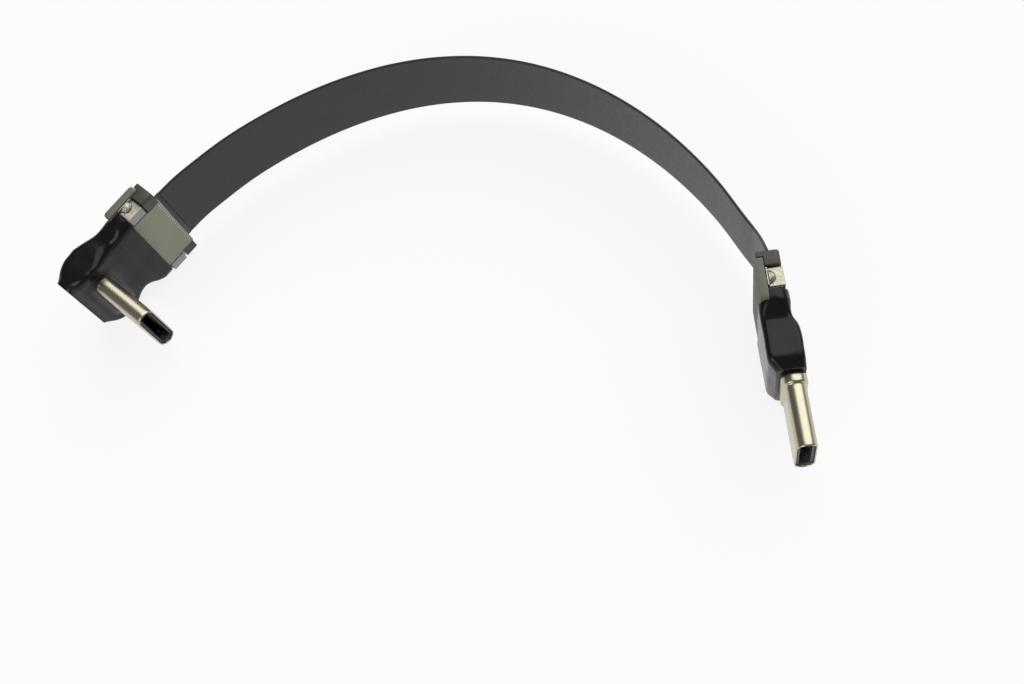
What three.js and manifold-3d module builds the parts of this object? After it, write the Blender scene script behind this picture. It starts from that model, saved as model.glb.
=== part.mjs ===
// Flat USB-C cable: a 20-way flat flexible ribbon, 0.5 mm pitch, with a small board at each end.
// Each board carries a slider-locked ribbon connector and a metal-shelled plug under heat-shrink.
// The left plug stands square to its board, the right one points straight on.
// Millimetres, +Z up. The cable stands on the long edges of its two boards, as it rests on a table.
import * as THREE from 'three';
import { mergeVertices } from 'three/addons/utils/BufferGeometryUtils.js';
import Module from 'manifold-3d';

const wasm = await Module();
wasm.setup();

// Fits
const runningGap = 0.05;      // between pieces that slide or are pushed together
const shrinkGap = 0.06;       // heat-shrink over what it grips
const sheet = 0.2;            // hold-downs and latches

// Ribbon
const ways = 20;
const pitch = 0.5;
const ribbonWidth = (ways + 1) * pitch;
const ribbonThickness = 0.3;
const conductorWidth = 0.3;
const conductorHeight = 0.04;
const stiffenerReach = 0.7;   // stiffened end standing out of the connector
const insertDepth = 4.0;      // stiffened end inside the connector

// Ribbon connector
const connectorTop = 1.1;     // above the ribbon's middle plane
const coverWidth = ribbonWidth + 0.2;         // housing between the ears
const housingRearWidth = ribbonWidth + 0.5;
const bracketInner = housingRearWidth + 0.5;  // clear width between the hold-downs' tabs
const shoulderWidth = bracketInner + 2.3;
const bracketOver = shoulderWidth + 2 * (runningGap + sheet);
const connectorWidth = bracketOver + 0.6;     // over the slider's ears
const combDepth = 0.55;
const combSlot = 0.26;
const contactWidth = 0.18;
const contactTop = 0.85;
const housingBack = 5.8;
const shoulderFront = 2.1;
const shoulderBack = 4.55;
const floorThickness = 0.15;
const floorFront = 1.15;
const tailLength = 0.7;
const tailHeight = 0.15;

// Slider
const lipFront = 0.3;
const lipBack = 1.05;
const barBack = 3.2;
const barWidth = coverWidth - 0.5;
const barTop = -0.24;
const barThickness = 0.38;
const earFront = 0.15;
const earBack = 1.95;
const earTop = 1.05;
const earDrop = 0.8;          // how far the ear hangs in front of the board's edge
const earRound = 0.6;

// Hold-down brackets and their solder
const bracketFront = 2.25;
const bracketBack = 4.45;
const footReach = 0.5;
const solderHeight = 0.75;
const solderLength = 1.9;

// Board
const boardWidth = bracketOver + 2 * (footReach + 0.1);
const boardThickness = 1.0;
const boardFront = 0.9;       // from the connector's mouth to the board's edge
const wingEnd = 5.9;          // where the wide part of the board ends
const neckWidth = coverWidth + 0.5;
const boardCorner = 0.5;
const neckCorner = 1.2;
const componentFace = -0.9;   // board's upper side, below the ribbon's middle plane

// Heat-shrink
const shrinkWall = 0.3;
const shrinkFront = 4.65;
const shrinkCorner = 0.6;
const wingSlope = 1.7;        // corner of the skin where it comes down on the board's wings
const wingShow = 0.4;         // edge of the wings left bare
const dip = 0.75;             // how far the skin sinks between the connector and the left plug
const swell = 1.1;            // how far it bulges under the left plug's solder
const nip = 0.8;              // how far it draws in at its closed end

// Plug
const plugWidth = 8.25;
const plugThickness = 2.4;
const shellWall = 0.2;
const shellLip = 0.12;        // bevel at the mouth
const insulatorSet = 0.25;    // insulator's face behind the shell's rim
const insulatorLength = 8.6;
const cavityWidth = plugWidth - 1.35;
const cavityHeight = plugThickness - 1.1;
const cavityDepth = 6.3;
const plugContacts = 12;
const plugContactWidth = 0.25;
const plugContactHeight = 0.14;
const contactStart = 1.4;     // behind the insulator's face
const contactLength = 4.2;
const latchHeight = 0.6;
const latchStart = 1.2;
const latchHook = 0.2;

// Left end: plug square to the board
const leftNeckEnd = 15.2;
const leftPlugAxis = 12.2;    // from the connector's mouth
const leftPlugTip = 9.75;     // above the ribbon's middle plane
const leftShrinkEnd = 15.8;

// Right end: plug in line with the board
const rightNeckEnd = 12.2;
const rightPlugTip = 22.05;
const rightPlugRear = 9.4;
const rightPlugRise = 0.45;   // plug's middle plane above the ribbon's
const rightShrinkEnd = 13.5;
const collarFront = 13.65;
const collarBack = 14.8;
const collarWidth = plugWidth + 1.35;
const collarThickness = plugThickness + 0.5;

// Where the two connectors' mouths stand, and the ribbon's route between them
const standHeight = boardWidth / 2;
const leftMouth = new THREE.Vector2(-30.9, 21.1);
const leftTurn = -135;        // degrees, the way the left board points
const rightMouth = new THREE.Vector2(42.1, 0.1);
const rightTurn = -90;
const routePoints = [
  [-30.37, 21.63], [-28.4, 23.4], [-26.2, 25.0], [-21.5, 28.0], [-16.3, 30.5], [-10.8, 32.5],
  [-5.2, 33.85], [0.6, 34.5], [6.4, 34.3], [12.1, 33.2], [17.6, 31.15], [22.6, 28.3],
  [27.2, 24.7], [31.3, 20.5], [34.8, 15.9], [37.8, 10.9], [40.2, 5.7], [41.5, 2.9], [42.1, 0.85],
];
const routeSteps = 60;

// Materials
const finish = (color, roughness, metalness) =>
  new THREE.MeshStandardMaterial({ color, roughness, metalness });
const ribbonBlack = finish(0x363937, 0.45, 0);
const stiffenerBlue = finish(0x30353f, 0.4, 0);
const housingBeige = finish(0x80826f, 0.55, 0);
const sliderBrown = finish(0x4b463e, 0.5, 0);
const tinnedMetal = finish(0x8f8d89, 0.35, 0.9);
const solderGrey = finish(0xb9b8ac, 0.35, 0.9);
const boardGreen = finish(0x737669, 0.7, 0);
const shrinkBlack = finish(0x2d2e2d, 0.4, 0);
const shellNickel = finish(0xb8b4a0, 0.25, 1);
const plugBlack = finish(0x282d2e, 0.5, 0);

// Solids and geometries
function solidOf(geometry) {
  const bare = geometry.index ? geometry.toNonIndexed() : geometry.clone();
  for (const name of Object.keys(bare.attributes)) {
    if (name !== 'position') bare.deleteAttribute(name);
  }
  const merged = mergeVertices(bare, 1e-5);
  return new wasm.Manifold(new wasm.Mesh({
    numProp: 3,
    vertProperties: new Float32Array(merged.attributes.position.array),
    triVerts: new Uint32Array(merged.index.array),
  }));
}

function geometryOf(solid) {
  const mesh = solid.getMesh();
  const geometry = new THREE.BufferGeometry();
  geometry.setAttribute('position', new THREE.BufferAttribute(new Float32Array(mesh.vertProperties), 3));
  geometry.setIndex(new THREE.BufferAttribute(new Uint32Array(mesh.triVerts), 1));
  geometry.computeVertexNormals();
  return geometry;
}

const unite = (solids) => solids.reduce((whole, piece) => whole.add(piece));

function block(x0, x1, y0, y1, z0, z1) {
  const box = new THREE.BoxGeometry(x1 - x0, y1 - y0, z1 - z0);
  box.translate((x0 + x1) / 2, (y0 + y1) / 2, (z0 + z1) / 2);
  return solidOf(box);
}

// An outline drawn in X and Z, given a thickness in Y
function slab(outline, y0, y1) {
  const plate = new THREE.ExtrudeGeometry(outline, { depth: y1 - y0, bevelEnabled: false, curveSegments: 6 });
  plate.rotateX(Math.PI / 2);
  plate.translate(0, y1, 0);
  return solidOf(plate);
}

// An outline drawn in Z and Y, given a length in X
function prism(outline, x0, x1) {
  const bar = new THREE.ExtrudeGeometry(outline, { depth: x1 - x0, bevelEnabled: false, curveSegments: 10 });
  bar.rotateY(Math.PI / 2);
  bar.translate(x0, 0, 0);
  return solidOf(bar);
}

function stadium(width, height) {
  const half = width / 2 - height / 2;
  const outline = new THREE.Shape();
  outline.moveTo(-half, -height / 2);
  outline.lineTo(half, -height / 2);
  outline.absarc(half, 0, height / 2, -Math.PI / 2, Math.PI / 2, false);
  outline.lineTo(-half, height / 2);
  outline.absarc(-half, 0, height / 2, Math.PI / 2, 3 * Math.PI / 2, false);
  return outline;
}

function roundedRect(x0, x1, y0, y1, r) {
  const outline = new THREE.Shape();
  outline.moveTo(x0 + r, y0);
  outline.lineTo(x1 - r, y0);
  outline.absarc(x1 - r, y0 + r, r, -Math.PI / 2, 0, false);
  outline.lineTo(x1, y1 - r);
  outline.absarc(x1 - r, y1 - r, r, 0, Math.PI / 2, false);
  outline.lineTo(x0 + r, y1);
  outline.absarc(x0 + r, y1 - r, r, Math.PI / 2, Math.PI, false);
  outline.lineTo(x0, y0 + r);
  outline.absarc(x0 + r, y0 + r, r, Math.PI, 3 * Math.PI / 2, false);
  return outline;
}

// A skin through rounded sections that stand across X: each is [x, half width, low, high, corner]
function loft(sections, shrinkBy) {
  const around = 10;
  const rings = sections.map(([x, half, low, high, corner]) => {
    const hz = half - shrinkBy;
    const hy = (high - low) / 2 - shrinkBy;
    const middle = (high + low) / 2;
    const r = Math.min(Math.max(corner - shrinkBy, 0.15), hy - 0.05, hz - 0.05);
    const ring = [];
    for (let quarter = 0; quarter < 4; quarter += 1) {
      const cz = (quarter === 0 || quarter === 3 ? 1 : -1) * (hz - r);
      const cy = (quarter < 2 ? 1 : -1) * (hy - r);
      for (let k = 0; k < around; k += 1) {
        const a = (quarter + k / (around - 1)) * Math.PI / 2;
        ring.push([x, middle + cy + r * Math.sin(a), cz + r * Math.cos(a)]);
      }
    }
    return ring;
  });
  const count = rings[0].length;
  const points = rings.flat(2);
  const faces = [];
  for (let s = 0; s + 1 < rings.length; s += 1) {
    for (let k = 0; k < count; k += 1) {
      const a = s * count + k;
      const b = s * count + (k + 1) % count;
      faces.push(a, a + count, b, b, a + count, b + count);
    }
  }
  const last = (rings.length - 1) * count;
  for (let k = 1; k + 1 < count; k += 1) {
    faces.push(0, k, k + 1, last, last + k + 1, last + k);
  }
  const skin = new THREE.BufferGeometry();
  skin.setAttribute('position', new THREE.Float32BufferAttribute(points, 3));
  skin.setIndex(faces);
  return solidOf(skin);
}

const wayPositions = Array.from({ length: ways }, (_, i) => (i - (ways - 1) / 2) * pitch);

// The stiffened end of the ribbon with its bare conductors on the upper side
function makeRibbonEnd() {
  const tongue = block(-stiffenerReach, insertDepth, -ribbonThickness / 2, ribbonThickness / 2,
    -ribbonWidth / 2, ribbonWidth / 2);
  const conductors = wayPositions.map((z) => block(combDepth / 2, insertDepth - 0.2,
    ribbonThickness / 2 - 0.05, ribbonThickness / 2 + conductorHeight,
    z - conductorWidth / 2, z + conductorWidth / 2));
  return unite([tongue, ...conductors]);
}

// The moulded housing with the comb of contacts at its mouth and their tails at the back
function makeHousing() {
  const floor = componentFace + runningGap / 2;
  const cover = block(0, housingBack, floor, connectorTop, -coverWidth / 2, coverWidth / 2);
  const rear = block(shoulderFront, housingBack, floor, connectorTop,
    -housingRearWidth / 2, housingRearWidth / 2);
  const shoulders = block(shoulderFront, shoulderBack, floor, connectorTop - sheet - runningGap,
    -shoulderWidth / 2, shoulderWidth / 2);
  const ribbonSlot = block(-1, insertDepth + runningGap, -ribbonThickness / 2 - runningGap,
    ribbonThickness / 2 + conductorHeight + runningGap,
    -ribbonWidth / 2 - runningGap, ribbonWidth / 2 + runningGap);
  const sliderSlot = block(-1, barBack + runningGap * 2, floor + floorThickness, 0,
    -barWidth / 2 - runningGap, barWidth / 2 + runningGap);
  const lipRoom = block(-1, floorFront, floor - 1, 0, -coverWidth, coverWidth);
  const mouthFlare = block(-1, 0.35, -1, ribbonThickness / 2 + 0.2, -coverWidth / 2 - 1, coverWidth / 2 + 1);
  let housing = unite([cover, rear, shoulders]);
  for (const cut of [ribbonSlot, sliderSlot, lipRoom, mouthFlare]) housing = housing.subtract(cut);
  for (const z of wayPositions) {
    const slot = block(-1, combDepth, 0, connectorTop + 1, z - combSlot / 2, z + combSlot / 2);
    housing = housing.subtract(slot);
  }
  const contacts = wayPositions.map((z) => block(combDepth / 3, combDepth + 0.1,
    ribbonThickness / 2 + conductorHeight + runningGap, contactTop,
    z - contactWidth / 2, z + contactWidth / 2));
  const tails = wayPositions.map((z) => block(housingBack - 0.1, housingBack + tailLength,
    floor, floor + tailHeight, z - contactWidth / 2, z + contactWidth / 2));
  return unite([housing, ...contacts, ...tails]);
}

// The slider: a bar under the ribbon with a finger ear at each side
function makeSlider() {
  const low = componentFace + runningGap;
  const bar = block(lipBack - 0.1, barBack, barTop - barThickness, barTop, -barWidth / 2, barWidth / 2);
  const lip = block(lipFront, lipBack, low, barTop, -connectorWidth / 2 + 0.3, connectorWidth / 2 - 0.3);
  const ears = [-1, 1].map((side) => {
    const inner = coverWidth / 2 + runningGap;
    const outer = connectorWidth / 2;
    const profile = new THREE.Shape();
    profile.moveTo(inner, low - earDrop);
    profile.lineTo(outer, low - earDrop);
    profile.lineTo(outer, earTop - earRound);
    profile.absarc(outer - earRound, earTop - earRound, earRound, 0, Math.PI / 2, false);
    profile.lineTo(inner, earTop);
    const overBoard = block(boardFront - runningGap, earBack + 1, low - earDrop - 1, low, -boardWidth, 0);
    const ear = prism(profile, earFront, earBack).subtract(overBoard);
    return side < 0 ? ear : ear.mirror([0, 0, 1]);
  });
  return unite([bar, lip, ...ears]);
}

// A bent hold-down: a tab over the housing's shoulder, a side and a foot on the board
function makeBracket(side) {
  const foot = componentFace + runningGap;
  const outer = shoulderWidth / 2 + runningGap + sheet;
  const top = block(bracketFront, bracketBack, connectorTop - sheet, connectorTop, bracketInner / 2, outer);
  const cheek = block(bracketFront, bracketBack, foot, connectorTop, outer - sheet, outer);
  const sole = block(bracketFront, bracketBack, foot, foot + sheet, outer - sheet, outer + footReach);
  const bracket = unite([top, cheek, sole]);
  return side > 0 ? bracket : bracket.mirror([0, 0, 1]);
}

// The solder that climbs from the bracket's foot to its side
function makeSolder(side) {
  const foot = componentFace + runningGap + sheet + runningGap;
  const wall = shoulderWidth / 2 + runningGap * 2 + sheet;
  const drop = new THREE.SphereGeometry(1, 20, 12);
  drop.scale(solderLength / 2, solderHeight, footReach + 0.1);
  drop.translate((bracketFront + bracketBack) / 2, foot, wall);
  const room = block(bracketFront, bracketBack, foot, connectorTop, wall, boardWidth / 2);
  const solder = solidOf(drop).intersect(room);
  return side > 0 ? solder : solder.mirror([0, 0, 1]);
}

// The board: wide under the ribbon connector, narrower under the heat-shrink
function makeBoard(neckEnd) {
  const r = boardCorner;
  const rear = neckCorner;
  const wide = boardWidth / 2;
  const neck = neckWidth / 2;
  const outline = new THREE.Shape();
  outline.moveTo(boardFront + r, -wide);
  outline.lineTo(wingEnd - r, -wide);
  outline.absarc(wingEnd - r, -wide + r, r, -Math.PI / 2, 0, false);
  outline.lineTo(wingEnd, -neck - r);
  outline.absarc(wingEnd + r, -neck - r, r, Math.PI, Math.PI / 2, true);
  outline.lineTo(neckEnd - rear, -neck);
  outline.absarc(neckEnd - rear, -neck + rear, rear, -Math.PI / 2, 0, false);
  outline.lineTo(neckEnd, neck - rear);
  outline.absarc(neckEnd - rear, neck - rear, rear, 0, Math.PI / 2, false);
  outline.lineTo(wingEnd + r, neck);
  outline.absarc(wingEnd + r, neck + r, r, -Math.PI / 2, -Math.PI, true);
  outline.lineTo(wingEnd, wide - r);
  outline.absarc(wingEnd - r, wide - r, r, 0, Math.PI / 2, false);
  outline.lineTo(boardFront + r, wide);
  outline.absarc(boardFront + r, wide - r, r, Math.PI / 2, Math.PI, false);
  outline.lineTo(boardFront, -wide + r);
  outline.absarc(boardFront + r, -wide + r, r, Math.PI, 3 * Math.PI / 2, false);
  return slab(outline, componentFace - boardThickness, componentFace);
}

// Heat-shrink drawn down over the board: open at the ribbon connector, closed round the plug
function makeShrink(sections) {
  const room = sections.map(([x, ...size], i) => {
    if (i === 0) return [x - 1, ...size];
    return [i === sections.length - 1 ? x - shrinkWall : x, ...size];
  });
  const wings = block(0, wingEnd + shrinkGap, 2 * shrinkUnder, componentFace + shrinkGap,
    -boardWidth, boardWidth);
  return loft(sections, 0).subtract(loft(room, shrinkWall)).subtract(wings);
}

const neckHalf = neckWidth / 2 + shrinkGap + shrinkWall;
const shrinkUnder = componentFace - boardThickness - shrinkGap - shrinkWall;
const shrinkOver = connectorTop + shrinkGap + shrinkWall;

const wingHalf = boardWidth / 2 - wingShow;
const plugHalf = plugThickness / 2;

// From the connector over the wings' rear corners to the neck
const shoulderSections = [
  [shrinkFront, wingHalf, shrinkUnder, shrinkOver, wingSlope],
  [wingEnd, wingHalf, shrinkUnder, shrinkOver, wingSlope],
  [wingEnd + 0.6, (wingHalf * 2 + neckHalf) / 3, shrinkUnder, shrinkOver, wingSlope * 0.6],
  [wingEnd + 1.3, (wingHalf + neckHalf * 4) / 5, shrinkUnder, shrinkOver - dip / 2, shrinkCorner],
];

const leftShrinkSections = [
  ...shoulderSections,
  [leftPlugAxis - plugHalf - 2.6, neckHalf, shrinkUnder - swell * 0.5, shrinkOver - dip, shrinkCorner * 2],
  [leftPlugAxis - plugHalf - 0.8, neckHalf + 0.1, shrinkUnder - swell * 0.9, shrinkOver - dip / 2,
    shrinkCorner * 2],
  [leftPlugAxis - plugHalf, neckHalf + 0.1, shrinkUnder - swell, shrinkOver, shrinkCorner],
  [leftPlugAxis + plugHalf, neckHalf + 0.1, shrinkUnder - swell * 0.9, shrinkOver, shrinkCorner],
  [leftShrinkEnd - 1.3, neckHalf, shrinkUnder - swell * 0.6, shrinkOver - dip / 2, shrinkCorner * 2],
  [leftShrinkEnd - 0.5, neckHalf - nip * 0.4, shrinkUnder - swell * 0.3, shrinkOver - dip, shrinkCorner * 2],
  [leftShrinkEnd, neckHalf - nip * 1.4, shrinkUnder, shrinkOver - dip * 1.8, shrinkCorner],
];

const rightShrinkOver = rightPlugRise + plugHalf + shrinkGap + shrinkWall;
const rightShrinkSections = [
  ...shoulderSections,
  [rightPlugRear - 0.8, neckHalf + 0.05, shrinkUnder, rightShrinkOver - 0.1, shrinkCorner],
  [rightPlugRear + 0.6, neckHalf + 0.1, shrinkUnder, rightShrinkOver, shrinkCorner],
  [rightNeckEnd + 0.2, neckHalf, shrinkUnder, rightShrinkOver, shrinkCorner],
  [rightShrinkEnd - 0.5, neckHalf - nip * 0.5, shrinkUnder + nip * 0.3, rightShrinkOver, shrinkCorner * 1.5],
  [rightShrinkEnd, neckHalf - nip * 1.1, shrinkUnder + nip * 1.3, rightShrinkOver - 0.1, shrinkCorner * 1.5],
];

// The plug's drawn metal shell, with a pressed collar on the straight one
function makeShell(length, collar) {
  const face = prism(stadium(plugWidth, plugThickness), 0, length - shellLip);
  const lip = prism(stadium(plugWidth - shellLip, plugThickness - shellLip), 0, length);
  const bore = prism(stadium(plugWidth - 2 * shellWall, plugThickness - 2 * shellWall), -1, length + 1);
  const parts = [face, lip];
  if (collar) {
    parts.push(prism(stadium(collarWidth, collarThickness), collar[0], collar[1]));
  }
  return unite(parts).subtract(bore);
}

// The moulded insert with two rows of contacts facing each other in the mouth
function makeInsulator(length) {
  const fit = 2 * (shellWall + runningGap);
  const face = length - insulatorSet;
  const body = prism(stadium(plugWidth - fit, plugThickness - fit), face - insulatorLength, face);
  const mouth = prism(roundedRect(-cavityWidth / 2, cavityWidth / 2, -cavityHeight / 2, cavityHeight / 2, 0.3),
    face - cavityDepth, face + 1);
  const rows = [];
  for (let i = 0; i < plugContacts; i += 1) {
    const z = (i - (plugContacts - 1) / 2) * pitch;
    for (const side of [-1, 1]) {
      const base = side * (cavityHeight / 2 + 0.05);
      const tip = side * (cavityHeight / 2 - plugContactHeight);
      rows.push(block(face - contactStart - contactLength, face - contactStart,
        Math.min(base, tip), Math.max(base, tip), z - plugContactWidth / 2, z + plugContactWidth / 2));
    }
  }
  return unite([body.subtract(mouth), ...rows]);
}

// The sprung latch: two arms along the mouth's ends, joined at its back
function makeLatch(length) {
  const face = length - insulatorSet;
  const back = face - cavityDepth + runningGap;
  const outer = cavityWidth / 2 - runningGap;
  const bridge = block(back, back + sheet, -latchHeight / 2, latchHeight / 2, -outer, outer);
  const arms = [-1, 1].map((side) => {
    const arm = new THREE.Shape();
    arm.moveTo(back, outer);
    arm.lineTo(back, outer - sheet);
    arm.lineTo(face - latchStart - 0.8, outer - sheet);
    arm.lineTo(face - latchStart - 0.4, outer - sheet - latchHook);
    arm.lineTo(face - latchStart, outer - sheet);
    arm.lineTo(face - latchStart, outer);
    const plate = slab(arm, -latchHeight / 2, latchHeight / 2);
    return side > 0 ? plate : plate.mirror([0, 0, 1]);
  });
  return unite([bridge, ...arms]);
}

function addMesh(group, name, solid, material) {
  const mesh = new THREE.Mesh(geometryOf(solid), material);
  mesh.name = name;
  group.add(mesh);
}

function addPlug(group, side, length, collar) {
  addMesh(group, `${side}_plug_shell`, makeShell(length, collar), shellNickel);
  addMesh(group, `${side}_plug_insulator`, makeInsulator(length), plugBlack);
  addMesh(group, `${side}_plug_latch`, makeLatch(length), tinnedMetal);
}

function addConnector(group, side, neckEnd) {
  addMesh(group, `${side}_ribbon_end`, makeRibbonEnd(), stiffenerBlue);
  addMesh(group, `${side}_connector_housing`, makeHousing(), housingBeige);
  addMesh(group, `${side}_slider`, makeSlider(), sliderBrown);
  addMesh(group, `${side}_board`, makeBoard(neckEnd), boardGreen);
  for (const [place, sign] of [['upper', 1], ['lower', -1]]) {
    addMesh(group, `${side}_hold_down_${place}`, makeBracket(sign), tinnedMetal);
    addMesh(group, `${side}_solder_${place}`, makeSolder(sign), solderGrey);
  }
}

function placeEnd(mouth, turn) {
  const group = new THREE.Group();
  group.position.set(mouth.x, mouth.y, standHeight);
  group.rotation.z = THREE.MathUtils.degToRad(turn);
  return group;
}

const cable = new THREE.Group();

// Left end
const leftEnd = placeEnd(leftMouth, leftTurn);
addConnector(leftEnd, 'left', leftNeckEnd);
const leftPlugFoot = componentFace + runningGap;
const plugHole = stadium(plugWidth + 2 * shrinkGap, plugThickness + 2 * shrinkGap);
const holeAcross = prism(plugHole, 0, leftPlugTip).rotate([0, 0, 90]).translate([leftPlugAxis, 0, 0]);
addMesh(leftEnd, 'left_heat_shrink', makeShrink(leftShrinkSections).subtract(holeAcross), shrinkBlack);
const leftPlug = new THREE.Group();
leftPlug.position.set(leftPlugAxis, leftPlugFoot, 0);
leftPlug.rotation.z = Math.PI / 2;
addPlug(leftPlug, 'left', leftPlugTip - leftPlugFoot);
leftEnd.add(leftPlug);
cable.add(leftEnd);

// Right end
const rightEnd = placeEnd(rightMouth, rightTurn);
addConnector(rightEnd, 'right', rightNeckEnd);
const holeAlong = prism(plugHole, rightPlugRear, rightPlugTip).translate([0, rightPlugRise, 0]);
addMesh(rightEnd, 'right_heat_shrink', makeShrink(rightShrinkSections).subtract(holeAlong), shrinkBlack);
const rightPlug = new THREE.Group();
rightPlug.position.set(rightPlugRear, rightPlugRise, 0);
addPlug(rightPlug, 'right', rightPlugTip - rightPlugRear, [collarFront - rightPlugRear, collarBack - rightPlugRear]);
rightEnd.add(rightPlug);
cable.add(rightEnd);

// Ribbon between the two stiffened ends, on edge all the way
const route = new THREE.CatmullRomCurve3(
  routePoints.map(([x, y]) => new THREE.Vector3(x, y, standHeight)), false, 'centripetal');
const halfWidth = ribbonWidth / 2;
const halfThickness = ribbonThickness / 2;
const section = new THREE.Shape([
  [-halfWidth, -0.05], [-halfWidth + 0.1, -halfThickness], [halfWidth - 0.1, -halfThickness],
  [halfWidth, -0.05], [halfWidth, 0.05], [halfWidth - 0.1, halfThickness],
  [-halfWidth + 0.1, halfThickness], [-halfWidth, 0.05],
].map(([x, y]) => new THREE.Vector2(x, y)));
const ribbon = new THREE.Mesh(
  new THREE.ExtrudeGeometry(section, { steps: routeSteps, extrudePath: route }), ribbonBlack);
ribbon.name = 'ribbon';
cable.add(ribbon);

export default cable;
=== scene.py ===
"""Flat USB-C cable: a black 20-way ribbon with a small board and a bare metal plug at each end.

The two ends are drawn in millimetres in a frame of their own and put in place in metres:
+X runs into the board, away from the ribbon, +Y is the side with the components, +Z is up,
and the origin is the middle of the ribbon connector's mouth.
"""

import math

import bmesh
import bpy
from mathutils import Matrix, Vector, noise


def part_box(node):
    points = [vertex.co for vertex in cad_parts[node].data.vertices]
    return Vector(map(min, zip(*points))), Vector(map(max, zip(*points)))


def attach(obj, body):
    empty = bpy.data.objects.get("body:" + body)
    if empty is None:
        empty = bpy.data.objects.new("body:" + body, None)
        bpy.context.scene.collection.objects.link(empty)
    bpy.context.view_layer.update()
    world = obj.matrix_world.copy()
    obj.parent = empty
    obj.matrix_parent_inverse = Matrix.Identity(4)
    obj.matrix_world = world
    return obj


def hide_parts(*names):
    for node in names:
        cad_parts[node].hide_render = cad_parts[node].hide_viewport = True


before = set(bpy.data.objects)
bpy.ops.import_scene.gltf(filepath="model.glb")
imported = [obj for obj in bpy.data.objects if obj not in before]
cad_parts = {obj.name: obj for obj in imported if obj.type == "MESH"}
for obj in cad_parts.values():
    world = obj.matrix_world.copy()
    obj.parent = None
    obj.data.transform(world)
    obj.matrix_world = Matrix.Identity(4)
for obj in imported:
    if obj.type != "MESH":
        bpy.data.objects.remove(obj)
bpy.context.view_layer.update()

MM = 0.001

# Camera, in metres
CAMERA_PLACE = Vector((0.02983, -0.06192, 0.14796))
CAMERA_RIGHT = Vector((0.98182, -0.09144, -0.16636))
CAMERA_DOWN = Vector((-0.14746, -0.91925, -0.36500))
CAMERA_FORWARD = Vector((-0.11955, 0.38290, -0.91602))
CAMERA_LENS = 45.70
SENSOR_WIDTH = 36.0

# Ribbon
STAND_HEIGHT = 7.75
RIBBON_WIDTH = 10.5
RIBBON_THICKNESS = 0.3
RIBBON_LENGTH = 91.6
RIBBON_COLUMNS = 42
RIBBON_REACH = 0.045
RIBBON_EDGE = 0.08
RIBBON_EDGE_TURN = 0.02
RIBBON_EDGE_DROP = 0.7
WAYS = 20
PITCH = 0.5
STEPS_PER_GAP = 12
FILM_UNIT = 100
LEFT_BLUE = 0.35
RIGHT_BLUE = 3.4
BLUE_FADE = 0.25
FILM_BLUE = (0.06, 0.068, 0.08, 1)
RIDGE_DEPTH = -1.0

# The way the ribbon runs, in metres, from the left connector to the right one
ROUTE = [
    (-0.03037, 0.02163), (-0.0284, 0.0234), (-0.0262, 0.0250), (-0.0215, 0.0280),
    (-0.0163, 0.0305), (-0.0108, 0.0325), (-0.0052, 0.03385), (0.0006, 0.0345),
    (0.0064, 0.0343), (0.0121, 0.0332), (0.0176, 0.03115), (0.0226, 0.0283),
    (0.0272, 0.0247), (0.0313, 0.0205), (0.0348, 0.0159), (0.0378, 0.0109),
    (0.0402, 0.0057), (0.0415, 0.0029), (0.0421, 0.00085),
]

# Ends
LEFT_MOUTH = (-30.9, 21.1)
LEFT_TURN = -135
RIGHT_MOUTH = (42.1, 0.1)
RIGHT_TURN = -90

# Board and ribbon connector
COMPONENT_FACE = -0.9
COMB_BACK = 0.08
COMB_DEPTH = 0.55
COMB_RISE = 0.65
COMB_HEIGHT = 0.78
COMB_TOOTH = 0.22

# Solder
SOLDER_PLACE = (3.35, -0.6, 7.2)
SOLDER_SIZE = (0.92, 0.72, 0.5)
SOLDER_SINK = -0.02
SOLDER_LOBE = 0.1
SOLDER_LOBE_RATE = 3.1
SOLDER_LUMP = 0.12
SOLDER_LUMP_RATE = 2.3
SOLDER_MERGE = 0.002
SOLDER_SPILL = 0.04
SOLDER_SEEDS = {"upper": 1.0, "lower": 5.0}

# Heat-shrink
NECK_HALF = 5.96
WING_HALF = 7.35
WING_END = 5.9
SHRINK_UNDER = -2.26
SHRINK_OVER = 1.46
SHRINK_FRONT = 4.65
SHRINK_WALL = 0.3
SHRINK_GAP = 0.06
CORNER = 0.6
WING_SLOPE = 1.7
DIP = 0.75
SWELL = 1.1
NIP = 0.8
SMOOTHING = 0.7
SMOOTHING_STEPS = 3
FULLEST_CORNER = 0.96
SHRINK_AROUND = 150
SHRINK_STATIONS = 120
WAVE_RATE = 0.35
WAVE_DEPTH = 0.06
CREASE_RATE = (1.2, 0.6, 0.3)
CREASE_DEPTH = 0.02
LIP_HEIGHT = 0.4
LIP_SPREAD = 0.45
FRONT_ROLL = 0.15
END_CLOSING = 0.5
END_STEP = 0.001
CLEAR_OF_ALL = 9
LEFT_SEED = 3.0
RIGHT_SEED = 11.0

# Rolled front edge: (distance from the edge, depth below the skin, share of the creases)
FRONT_RINGS = [(0.5, SHRINK_WALL, 0), (0.02, SHRINK_WALL, 0), (0, SHRINK_WALL * 0.6, 0), (0.05, 0.05, 0.4)]

# Plug
PLUG_WIDTH = 8.25
PLUG_THICKNESS = 2.4
SHELL_WALL = 0.2
ROUND_STEPS = 20
LEFT_PLUG_AXIS = 12.2
LEFT_PLUG_FOOT = -0.85
LEFT_PLUG_TIP = 9.75
LEFT_SHRINK_END = 15.8
RIGHT_PLUG_REAR = 9.4
RIGHT_PLUG_RISE = 0.45
RIGHT_PLUG_TIP = 22.05
RIGHT_NECK_END = 12.2
RIGHT_SHRINK_END = 13.5
COLLAR_FRONT = 13.65
COLLAR_BACK = 14.8
COLLAR_THICKNESS = 2.9
PLUG_WAYS = 12
PLUG_CONTACT = (4.22, 0.18, 0.27)
PLUG_CONTACT_BACK = 3.75
PLUG_CONTACT_OFFSET = 0.575

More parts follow.
